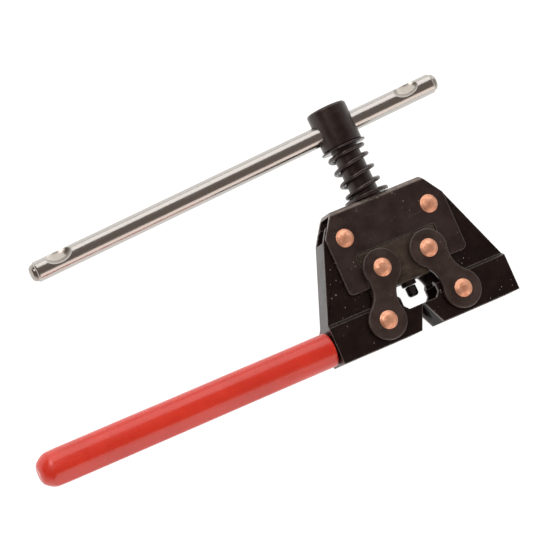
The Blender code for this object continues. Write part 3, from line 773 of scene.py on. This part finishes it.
def bar_place():
    """Carries z onto the tommy bar's axis through the screw's head, from its left end to its right."""
    droop = Matrix.Rotation(-BAR_DROOP, 4, "Y")
    tilt = Matrix.Rotation(BAR_TILT, 4, "Z")
    return screw_lean() @ Matrix.Translation((0.0, BAR_HEIGHT, 0.0)) @ droop @ tilt @ ALONG_X


def make_screw(material):
    """The head with its cross hole and the shank; the thread and the nose are a piece of their own."""
    profile = rounded_profile([
        (0, SHANK_BOTTOM, 0.0),
        (SHANK_RADIUS, SHANK_BOTTOM, 0.0008),
        (SHANK_RADIUS, HEAD_BOTTOM, 0.0004),
        (HEAD_RADIUS, HEAD_BOTTOM, 0.0008),
        (HEAD_RADIUS, HEAD_TOP, 0.0016),
        (0, HEAD_TOP, 0.0),
    ])
    screw = make_object("forcing_screw_head", turned(profile, 128, along_screw()))
    reach = 2 * HEAD_RADIUS
    carve(screw, "DIFFERENCE", rod(BAR_RADIUS + GAP, -reach, reach, bar_place(), 128))
    soften(screw, 0.0005)
    smooth(screw, 35)
    finish_piece(screw, "screw", "black_oxide", material, "forcing_screw")


def thread_radius(height, turn):
    """Radius of the V thread, which runs out smoothly at both ends of its stretch."""
    phase = (height / THREAD_PITCH - turn) % 1.0
    depth = THREAD_DEPTH * min(1.0, 1.25 * abs(2 * phase - 1))
    run_out = THREAD_PITCH
    fade = min(1.0, (height - THREAD_BOTTOM) / run_out, (SHANK_BOTTOM - height) / run_out)
    return THREAD_RADIUS - depth * max(fade, 0.0)


def make_thread(material, sides=64):
    """The threaded stretch below the shank, ending in the nose."""
    bm = bmesh.new()
    steps = round((SHANK_BOTTOM - THREAD_BOTTOM) / THREAD_PITCH * 10)
    edge = 0.0004
    nose = [(NOSE_RADIUS - edge, NOSE_BOTTOM), (NOSE_RADIUS, NOSE_BOTTOM + edge)]
    nose.append((NOSE_RADIUS, THREAD_BOTTOM))
    rings = [[station] * sides for station in nose]
    for i in range(steps + 1):
        height = THREAD_BOTTOM + (SHANK_BOTTOM - THREAD_BOTTOM) * i / steps
        rings.append([(thread_radius(height, k / sides), height) for k in range(sides)])
    loops = []
    for ring in rings:
        loop = []
        for k, (radius, height) in enumerate(ring):
            angle = 2 * math.pi * k / sides
            loop.append(bm.verts.new((radius * math.cos(angle), height, radius * math.sin(angle))))
        loops.append(loop)
    bridge(bm, loops)
    bm.faces.new(loops[0])
    bm.faces.new(loops[-1])
    bm.transform(screw_lean())
    thread = make_object("forcing_screw_thread", bm)
    smooth(thread, 50)
    finish_piece(thread, "screw", "black_oxide", material)


def make_push_pin(material):
    tail_radius = 0.0020
    shoulder = NOSE_BOTTOM - GAP
    profile = rounded_profile([
        (0, PIN_TIP, 0.0),
        (PIN_RADIUS, PIN_TIP, 0.0017),
        (PIN_RADIUS, shoulder, 0.0003),
        (tail_radius, shoulder, 0.0),
        (tail_radius, shoulder + GAP / 2, 0.0),
        (0, shoulder + GAP / 2, 0.0),
    ])
    pin = make_object("push_pin_rod", turned(profile, 64, along_screw()))
    smooth(pin)
    finish_piece(pin, "screw", "bare_steel", material, "push_pin")


def scoop(centre_along, turn, sides=160, steps=80):
    """The ball that presses one thumb-shaped scoop into the bar."""
    offset = BAR_RADIUS + DENT_RADIUS - DENT_DEPTH
    arc = [math.pi * i / steps for i in range(steps + 1)]
    ball = [(DENT_RADIUS * math.sin(a), -DENT_RADIUS * math.cos(a)) for a in arc]
    ball[0], ball[-1] = (0, -DENT_RADIUS), (0, DENT_RADIUS)
    centre = Vector((-math.sin(turn) * offset, math.cos(turn) * offset, centre_along))
    return turned(ball, sides, bar_place() @ Matrix.Translation(centre) @ ALONG_X)


def make_tommy_bar(material):
    """A round bar with a stepped nose at each end and two opposite scoops pressed in behind it."""
    left = [(radius, inward - BAR_LEFT) for inward, radius in BAR_END]
    right = [(radius, BAR_RIGHT - inward) for inward, radius in reversed(BAR_END)]
    span = [(0, -BAR_LEFT), *left, *right, (0, BAR_RIGHT)]
    bar = make_object("tommy_bar_rod", turned(divided(span, 0.0060), 128, bar_place()))
    for centre_along in (-DENT_LEFT, DENT_RIGHT):
        for turn in (DENT_TURN, DENT_TURN + math.pi):
            carve(bar, "DIFFERENCE", scoop(centre_along, turn))
    soften(bar, 0.00025, 3, 12)
    smooth(bar, 50)
    finish_piece(bar, "tommy_bar", "polished_chrome", material, "tommy_bar")


def make_crosshead(material):
    low, high = CROSSHEAD_LOW, CROSSHEAD_HIGH
    corners = [(low.x, low.y), (high.x, low.y), (high.x, high.y), (low.x, high.y)]
    outline = rounded([(*corner, CROSSHEAD_CORNER) for corner in corners])
    nut = make_object("crosshead_block", pillow(outline, low.z, high.z, 0.0005))
    cut_hole(nut, THREAD_RADIUS + GAP, low.y - OVER, high.y + OVER, along_screw())
    for side in (-1, 1):
        cut_rivet_hole(nut, CROSSHEAD_PIVOT, side)
    smooth(nut, 30)
    finish_piece(nut, "crosshead", "browned_steel", material, "crosshead_nut")


def tip_outline(top, far_end, heel, nest):
    """The right jaw's lower outline: lip, nest for the chain, top, far end and the slanted tip."""
    return [
        (TIP_NOSE[0], 0.0, 0.0),
        *nest,
        (nest[-1][0], top, 0.0),
        (far_end, top, 0.0),
        *heel,
        (TIP_FOOT, JAW_BOTTOM, 0.0),
        (*TIP_SHOULDER, 0.0),
        (*TIP_NOSE, 0.0),
    ]


def jaw_slope(offset, height):
    """Where the sloping outer web crosses a height, measured offset inside its outer face."""
    run = JAW_SLOPE_TOP[0] - JAW_END
    rise = JAW_SLOPE_TOP[1] - JAW_CORNER_HEIGHT
    across = offset * math.hypot(run, rise) / rise
    return JAW_END + run * (height - JAW_CORNER_HEIGHT) / rise - across


def upper_wall(side):
    inner = CROSSHEAD_HIGH.x + 2 * GAP
    foot = JOGGLE_TOP - SHEET - GAP
    corners = [
        (inner, foot, 0.0),
        (JAW_END, foot, 0.0),
        (JAW_END, JAW_CORNER_HEIGHT, 0.0),
        (*JAW_SLOPE_TOP, 0.0),
        (JAW_EAR_OUTER, JAW_EAR_TOP, 0.0030),
        (JAW_EAR_INNER, JAW_EAR_TOP, 0.0070),
        (JAW_EAR_INNER, JAW_EAR_FOOT, 0.0050),
        (inner, JAW_WALL_STEP, 0.0),
    ]
    return rounded(mirrored(corners, side))


def cut_channel(jaw, side):
    """Hollows the jaw out, narrow above the joggle and wide below it, and leaves the outer web."""
    ledge = JOGGLE_TOP - SHEET - GAP
    web_top = JAW_SLOPE_TOP[1] - GAP
    web_foot = JAW_END - SHEET
    narrow = [
        (-OVER, JAW_BOTTOM - OVER),
        (web_foot, JAW_BOTTOM - OVER),
        (web_foot, JAW_CORNER_HEIGHT - GAP),
        (jaw_slope(SHEET, web_top), web_top),
        (2 * JAW_END, web_top),
        (2 * JAW_END, BRIDGE_TOP + OVER),
        (-OVER, BRIDGE_TOP + OVER),
    ]
    half = UPPER_HALF_DEPTH - SHEET
    carve(jaw, "DIFFERENCE", prism(mirror_flat(narrow, side), -half, half))
    wide = [(-OVER, JAW_BOTTOM - OVER), (web_foot, JAW_BOTTOM - OVER), (web_foot, ledge), (-OVER, ledge)]
    half = HALF_DEPTH - SHEET
    carve(jaw, "DIFFERENCE", prism(mirror_flat(wide, side), -half, half))


def make_jaw(name, side, material):
    """A sheet channel, narrow where it turns inside the frame and joggled out flush with it below."""
    heel = [(JAW_END, JAW_CORNER_HEIGHT, 0.0), (JAW_END, JAW_BOTTOM, 0.0)]
    nest = [(LIP_END, 0.0, 0.0), (NEST_HALF_WIDTH, NEST_CORNER_HEIGHT, 0.0)]
    lower = tip_outline(JOGGLE_TOP, jaw_slope(0.0, JOGGLE_TOP), heel, nest)
    jaw = make_object(name + "_channel", prism(mirror_flat(lower, side), -HALF_DEPTH, HALF_DEPTH))
    rise = HALF_DEPTH - UPPER_HALF_DEPTH
    lean = JOGGLE_DROP / rise
    for front in (-1, 1):
        edge = [
            (front * (HALF_DEPTH + GAP), JOGGLE_TOP - JOGGLE_DROP - lean * GAP),
            (front * (UPPER_HALF_DEPTH - GAP), JOGGLE_TOP + lean * GAP),
            (front * (HALF_DEPTH + GAP), JOGGLE_TOP + OVER),
        ]
        width = 2 * JAW_END
        carve(jaw, "DIFFERENCE", prism(edge, -width, width, ALONG_X_FROM_SIDE))
    carve(jaw, "UNION", prism(upper_wall(side), -UPPER_HALF_DEPTH, UPPER_HALF_DEPTH))
    cut_channel(jaw, side)
    for pivot in (FRAME_PIVOT, JAW_PIVOT):
        cut_rivet_hole(jaw, pivot, side)
    if side < 0:
        cut_hole(jaw, HANDLE_NECK_RADIUS + GAP, JAW_END - OVER, JAW_END + OVER, handle_place())
    soften(jaw, 0.0004)
    smooth(jaw, 35)
    finish_piece(jaw, name, "black_oxide", material, name)


def make_jaw_insert(name, side, heel, material):
    """The solid tip between the jaw's walls, with half of the hole that the chain's pin leaves through."""
    top = JOGGLE_TOP - SHEET - 2 * GAP
    outline = mirror_flat(tip_outline(top, INSERT_END, heel, [(INSERT_NEST, 0.0, 0.0)]), side)
    insert = make_object(name + "_tip_block", prism(outline, -INSERT_HALF_DEPTH, INSERT_HALF_DEPTH))
    cut_hole(insert, ROLLER_NOTCH_RADIUS, JAW_BOTTOM - OVER, OVER, ALONG_Y)
    cut_rivet_hole(insert, JAW_PIVOT, side)
    soften(insert, 0.0003, 2)
    smooth(insert, 35)
    finish_piece(insert, name, "black_oxide", material, name + "_insert")


def handle_place():
    """Carries z onto the handle's axis, from the jaw outwards."""
    return Matrix.Translation((0.0, HANDLE_HEIGHT, 0.0)) @ Matrix.Rotation(math.radians(-90), 4, "Y")


def make_handle_bar(material):
    """The tang in the jaw's channel, the neck through its web and the round bar's mouth end."""
    shoulder = JAW_END + GAP
    tang_end = JAW_END - SHEET - GAP
    bar_end = -tool_box("handle_bar")[0].x
    profile = rounded_profile([
        (0, INSERT_END + OVER, 0.0),
        (HANDLE_NECK_RADIUS, INSERT_END + OVER, 0.0),
        (HANDLE_NECK_RADIUS, shoulder, 0.0),
        (HANDLE_BAR_RADIUS, shoulder, 0.0004),
        (HANDLE_BAR_RADIUS, bar_end, 0.0040),
        (0, bar_end, 0.0),
    ])
    bar = make_object("handle_tang", turned(profile, 64, handle_place()))
    left, right = -tang_end, -INSERT_END - GAP
    top = JOGGLE_TOP - SHEET - 2 * GAP
    corners = [(left, JAW_BOTTOM), (right, JAW_BOTTOM), (right, top), (left, top)]
    outline = rounded([(x, y, 0.0005) for x, y in corners], 3)
    carve(bar, "UNION", pillow(outline, -INSERT_HALF_DEPTH, INSERT_HALF_DEPTH, 0.0003, 3))
    smooth(bar, 35)
    finish_piece(bar, "left_jaw", "black_oxide", material, "handle_bar")


def make_handle_grip(material):
    """A dipped vinyl sleeve, fuller towards its closed far end and flatter along its lower front side."""
    mouth = JAW_END + 2 * GAP
    bore = HANDLE_BAR_RADIUS + GAP
    bore_end = GRIP_END - (GRIP_RADIUS - bore)
    profile = rounded_profile([
        (0, GRIP_END, 0.0),
        (GRIP_TIP_RADIUS, GRIP_END, 0.0045),
        (GRIP_RADIUS - 0.0002, GRIP_END - GRIP_TIP_LENGTH, 0.0070),
        (GRIP_RADIUS, GRIP_END - 0.0120, 0.0),
        (GRIP_RADIUS, GRIP_END - 0.0400, 0.0),
        (GRIP_MOUTH_RADIUS, mouth + 0.0300, 0.0),
        (GRIP_MOUTH_RADIUS, mouth, 0.0011),
        (bore, mouth, 0.0004),
        (bore, bore_end - GRIP_TIP_LENGTH, 0.0),
        (GRIP_TIP_RADIUS - 0.0020, bore_end, 0.0),
        (0, bore_end, 0.0),
    ], 14)
    grip_bm = turned(divided(profile, 0.0015), 144, handle_place())
    facing = Vector((0.0, -math.sin(GRIP_FLAT_TURN), math.cos(GRIP_FLAT_TURN)))
    for vert in grip_bm.verts:
        around = Vector((0.0, vert.co.y - HANDLE_HEIGHT, vert.co.z))
        if around.length > bore * 1.1:
            begun = min(max((-vert.co.x - JAW_END) / GRIP_FLAT_START, 0.0), 1.0)
            proud = max(around.dot(facing) - GRIP_FLAT_HEIGHT, 0.0)
            vert.co -= facing * (GRIP_FLAT_SHARE * begun * begun * proud)
            wave = noise.noise(vert.co * GRIP_WAVES_PER_METRE) * GRIP_WAVE
            vert.co -= around.normalized() * (GRIP_WAVE + wave)
    grip = make_object("dipped_grip", grip_bm)
    grip.data.shade_smooth()
    grip.data.set_sharp_from_angle(angle=math.radians(60))
    finish_piece(grip, "left_jaw", "red_vinyl", material, "handle_grip")


def divided(profile, longest):
    """The same profile with long straight stretches divided."""
    points = [profile[0]]
    for start, end in zip(profile, profile[1:]):
        count = max(1, math.ceil(math.dist(start, end) / longest))
        for k in range(1, count + 1):
            points.append(tuple(a + (b - a) * k / count for a, b in zip(start, end)))
    return points


def link_outline(side, steps=20):
    """Two round ends joined by a waist whose sides are arcs tangent to both ends."""
    start = Vector((side * CROSSHEAD_PIVOT[0], CROSSHEAD_PIVOT[1]))
    end = Vector((side * JAW_PIVOT[0], JAW_PIVOT[1]))
    along = (end - start).normalized()
    across = Vector((-along.y, along.x))
    half = (end - start).length / 2
    spare = LINK_END_RADIUS ** 2 - LINK_WAIST_HALF_WIDTH ** 2 - half ** 2
    waist_radius = -spare / (2 * (LINK_END_RADIUS - LINK_WAIST_HALF_WIDTH))
    reach = LINK_WAIST_HALF_WIDTH + waist_radius
    lean = math.atan2(reach, half)
    outline = []
    for pivot, way in ((start, -1), (end, 1)):
        for i in range(2 * steps + 1):
            angle = (math.pi - lean) * (i / steps - 1)
            ray = along * math.cos(angle) + across * math.sin(angle)
            outline.append(pivot + way * LINK_END_RADIUS * ray)
        middle = start + along * half + way * across * reach
        for i in range(1, steps):
            angle = (math.pi / 2 - lean) * (1 - 2 * i / steps)
            ray = across * math.cos(angle) - along * math.sin(angle)
            outline.append(middle - way * waist_radius * ray)
    return outline


def make_links(name, side, material):
    for where, front in (("front", 1), ("back", -1)):
        low, high = sorted((front * (HALF_DEPTH + GAP), front * LINK_FACE))
        link = make_object(f"{name}_link_plate_{where}", pillow(link_outline(side), low, high, LINK_EDGE))
        cut_rivet_hole(link, CROSSHEAD_PIVOT, side)
        cut_rivet_hole(link, JAW_PIVOT, side, OPEN_HOLE_RADIUS)
        smooth(link, 30)
        finish_piece(link, name + "_links", "black_oxide", material, f"{name}_link_{where}")


def make_rivet(name, pivot, side, seat, body, material):
    """A rivet with a hand-peened dome on each face; seat is the height of a head's underside."""
    dome = (RIVET_HEAD_RADIUS ** 2 + RIVET_HEAD_HEIGHT ** 2) / (2 * RIVET_HEAD_HEIGHT)
    sweep = math.asin(RIVET_HEAD_RADIUS / dome)
    steps = 18
    crown = []
    for i in range(steps + 1):
        angle = sweep * i / steps
        drop = dome * (1 - math.cos(angle))
        crown.append((dome * math.sin(angle), seat + RIVET_HEAD_HEIGHT - drop))
    half = crown + [(RIVET_SHANK_RADIUS, seat)]
    profile = [(radius, -height) for radius, height in half] + half[::-1]
    bm = turned(profile, 64, at(pivot, side))
    for vert in bm.verts:
        if abs(vert.co.z) > seat + GAP:
            coarse, fine = (noise.noise(vert.co * rate) for rate in PEENS_PER_METRE)
            dent = PEEN_DEPTH * (coarse + 0.6 * fine)
            vert.co.z -= math.copysign(PEEN_DROP + dent, vert.co.z)
    rivet = make_object(name + "_peened", bm)
    smooth(rivet, 50)
    finish_piece(rivet, body, "copper", material, name)


def make_all_pieces():
    finish = make_materials()
    make_saddle(finish["plate"])
    make_spring_seat(finish["spring"])
    make_spring(finish["spring"])
    make_head_washer(finish["spring"])
    make_screw(finish["screw"])
    make_thread(finish["screw"])
    make_push_pin(finish["steel"])
    make_tommy_bar(finish["chrome"])
    make_crosshead(finish["browned"])
    make_handle_bar(finish["plate"])
    make_handle_grip(finish["vinyl"])
    full_heel = [(INSERT_END, JAW_BOTTOM, 0.0)]
    for word, side, heel in (("left", -1, full_heel), ("right", 1, INSERT_RELIEF)):
        jaw = word + "_jaw"
        make_jaw(jaw, side, finish["jaw"])
        make_jaw_insert(jaw, side, heel, finish["tip"])
        make_links(word, side, finish["link"])
        link_seat = LINK_FACE + GAP
        make_rivet(word + "_frame_rivet", FRAME_PIVOT, side, HALF_DEPTH + GAP, "frame", finish["copper"])
        make_rivet(word + "_crosshead_rivet", CROSSHEAD_PIVOT, side, link_seat, "crosshead", finish["copper"])
        make_rivet(word + "_jaw_rivet", JAW_PIVOT, side, link_seat, jaw, finish["copper"])


# ----------------------------------------------------------- floor, light, camera

CEILING = (0.21, 0.175, 0.158)
PAPER = (1.0, 0.99, 0.97)

CAMERA_AZIMUTH = math.radians(-78.9)
CAMERA_ELEVATION = math.radians(71.86)
CAMERA_ROLL = math.radians(55.7)
CAMERA_DISTANCE = 1.20
CAMERA_LENS = 153.3
CAMERA_AIM = Vector((-0.0619, 0.0393, 0.0))


def make_floor():
    size = 3.0
    bm = bmesh.new()
    bmesh.ops.create_grid(bm, x_segments=1, y_segments=1, size=size)
    mesh = bpy.data.meshes.new("floor")
    bm.to_mesh(mesh)
    bm.free()
    floor = bpy.data.objects.new("floor", mesh)
    bpy.context.scene.collection.objects.link(floor)
    material, tree, shader = new_material("floor_paper")
    shader.inputs["Base Color"].default_value = (0.22, 0.22, 0.22, 1.0)
    shader.inputs["Roughness"].default_value = 0.8
    shader.inputs["Emission Color"].default_value = (1.0, 1.0, 0.995, 1.0)
    shader.inputs["Emission Strength"].default_value = 0.96
    mesh.materials.append(material)


def make_world():
    """A dark ceiling over the tool, white paper all round its horizon and a pale wall on its right."""
    world = bpy.data.worlds.new("studio")
    bpy.context.scene.world = world
    world.use_nodes = True
    tree = world.node_tree
    towards = node(tree, "SeparateXYZ", {0: node(tree, "TexCoord").outputs["Generated"]})
    low = remap(tree, towards.outputs["Z"], 0.34, 0.02)
    right = remap(tree, towards.outputs["X"], 0.45, 0.90, 0.0, 0.55)
    colour = blend_colour(tree, right, CEILING, PAPER)
    colour = blend_colour(tree, low, colour, PAPER)
    tree.links.new(colour, tree.nodes["Background"].inputs["Color"])


def add_softbox(name, direction, distance, long_side, short_side, radiance, colour=(1.0, 1.0, 1.0)):
    """A rectangular light whose long side lies along the tool's x axis."""
    data = bpy.data.lights.new(name, "AREA")
    data.shape = "RECTANGLE"
    data.size = long_side
    data.size_y = short_side
    data.energy = radiance * math.pi * long_side * short_side
    data.color = colour
    light = bpy.data.objects.new(name, data)
    bpy.context.scene.collection.objects.link(light)
    away = Vector(direction).normalized()
    along = (Vector((1, 0, 0)) - away * away.x).normalized()
    turn = Matrix((along, away.cross(along), away)).transposed()
    light.matrix_world = Matrix.Translation(ORIGIN + away * distance) @ turn.to_4x4()
    return light


def make_lights():
    """Two softboxes that polished metal mirrors, a fill that it doesn't, and a glint for the domes."""
    add_softbox("softbox_back", (0.20, 0.85, 0.50), 1.10, 1.60, 0.80, 1.5)
    add_softbox("softbox_front", (0.20, -0.84, 0.48), 0.75, 1.10, 0.46, 1.35, (1.0, 0.88, 0.82))
    fill = add_softbox("fill", (-0.42, 0.26, 0.87), 1.40, 1.10, 1.10, 3.2)
    fill.visible_glossy = False
    glint = add_softbox("glint", (-0.45, 0.54, 0.73), 0.90, 0.36, 0.36, 3.0, (1.0, 0.96, 0.92))
    glint.visible_diffuse = False


def make_camera():
    data = bpy.data.cameras.new("camera")
    data.lens = CAMERA_LENS
    data.sensor_width = 36.0
    data.clip_start, data.clip_end = 0.05, 20.0
    camera = bpy.data.objects.new("camera", data)
    bpy.context.scene.collection.objects.link(camera)
    back = Vector((
        math.sin(CAMERA_AZIMUTH) * math.cos(CAMERA_ELEVATION),
        -math.cos(CAMERA_AZIMUTH) * math.cos(CAMERA_ELEVATION),
        math.sin(CAMERA_ELEVATION),
    ))
    level_right = Vector((0, 0, 1)).cross(back).normalized()
    level_up = back.cross(level_right)
    right = level_right * math.cos(CAMERA_ROLL) + level_up * math.sin(CAMERA_ROLL)
    turn = Matrix((right, back.cross(right), back)).transposed()
    camera.matrix_world = Matrix.Translation(ORIGIN + CAMERA_AIM + back * CAMERA_DISTANCE) @ turn.to_4x4()
    bpy.context.scene.camera = camera


make_all_pieces()
make_floor()
make_world()
make_lights()
make_camera()
bpy.context.scene.view_settings.view_transform = "Standard"
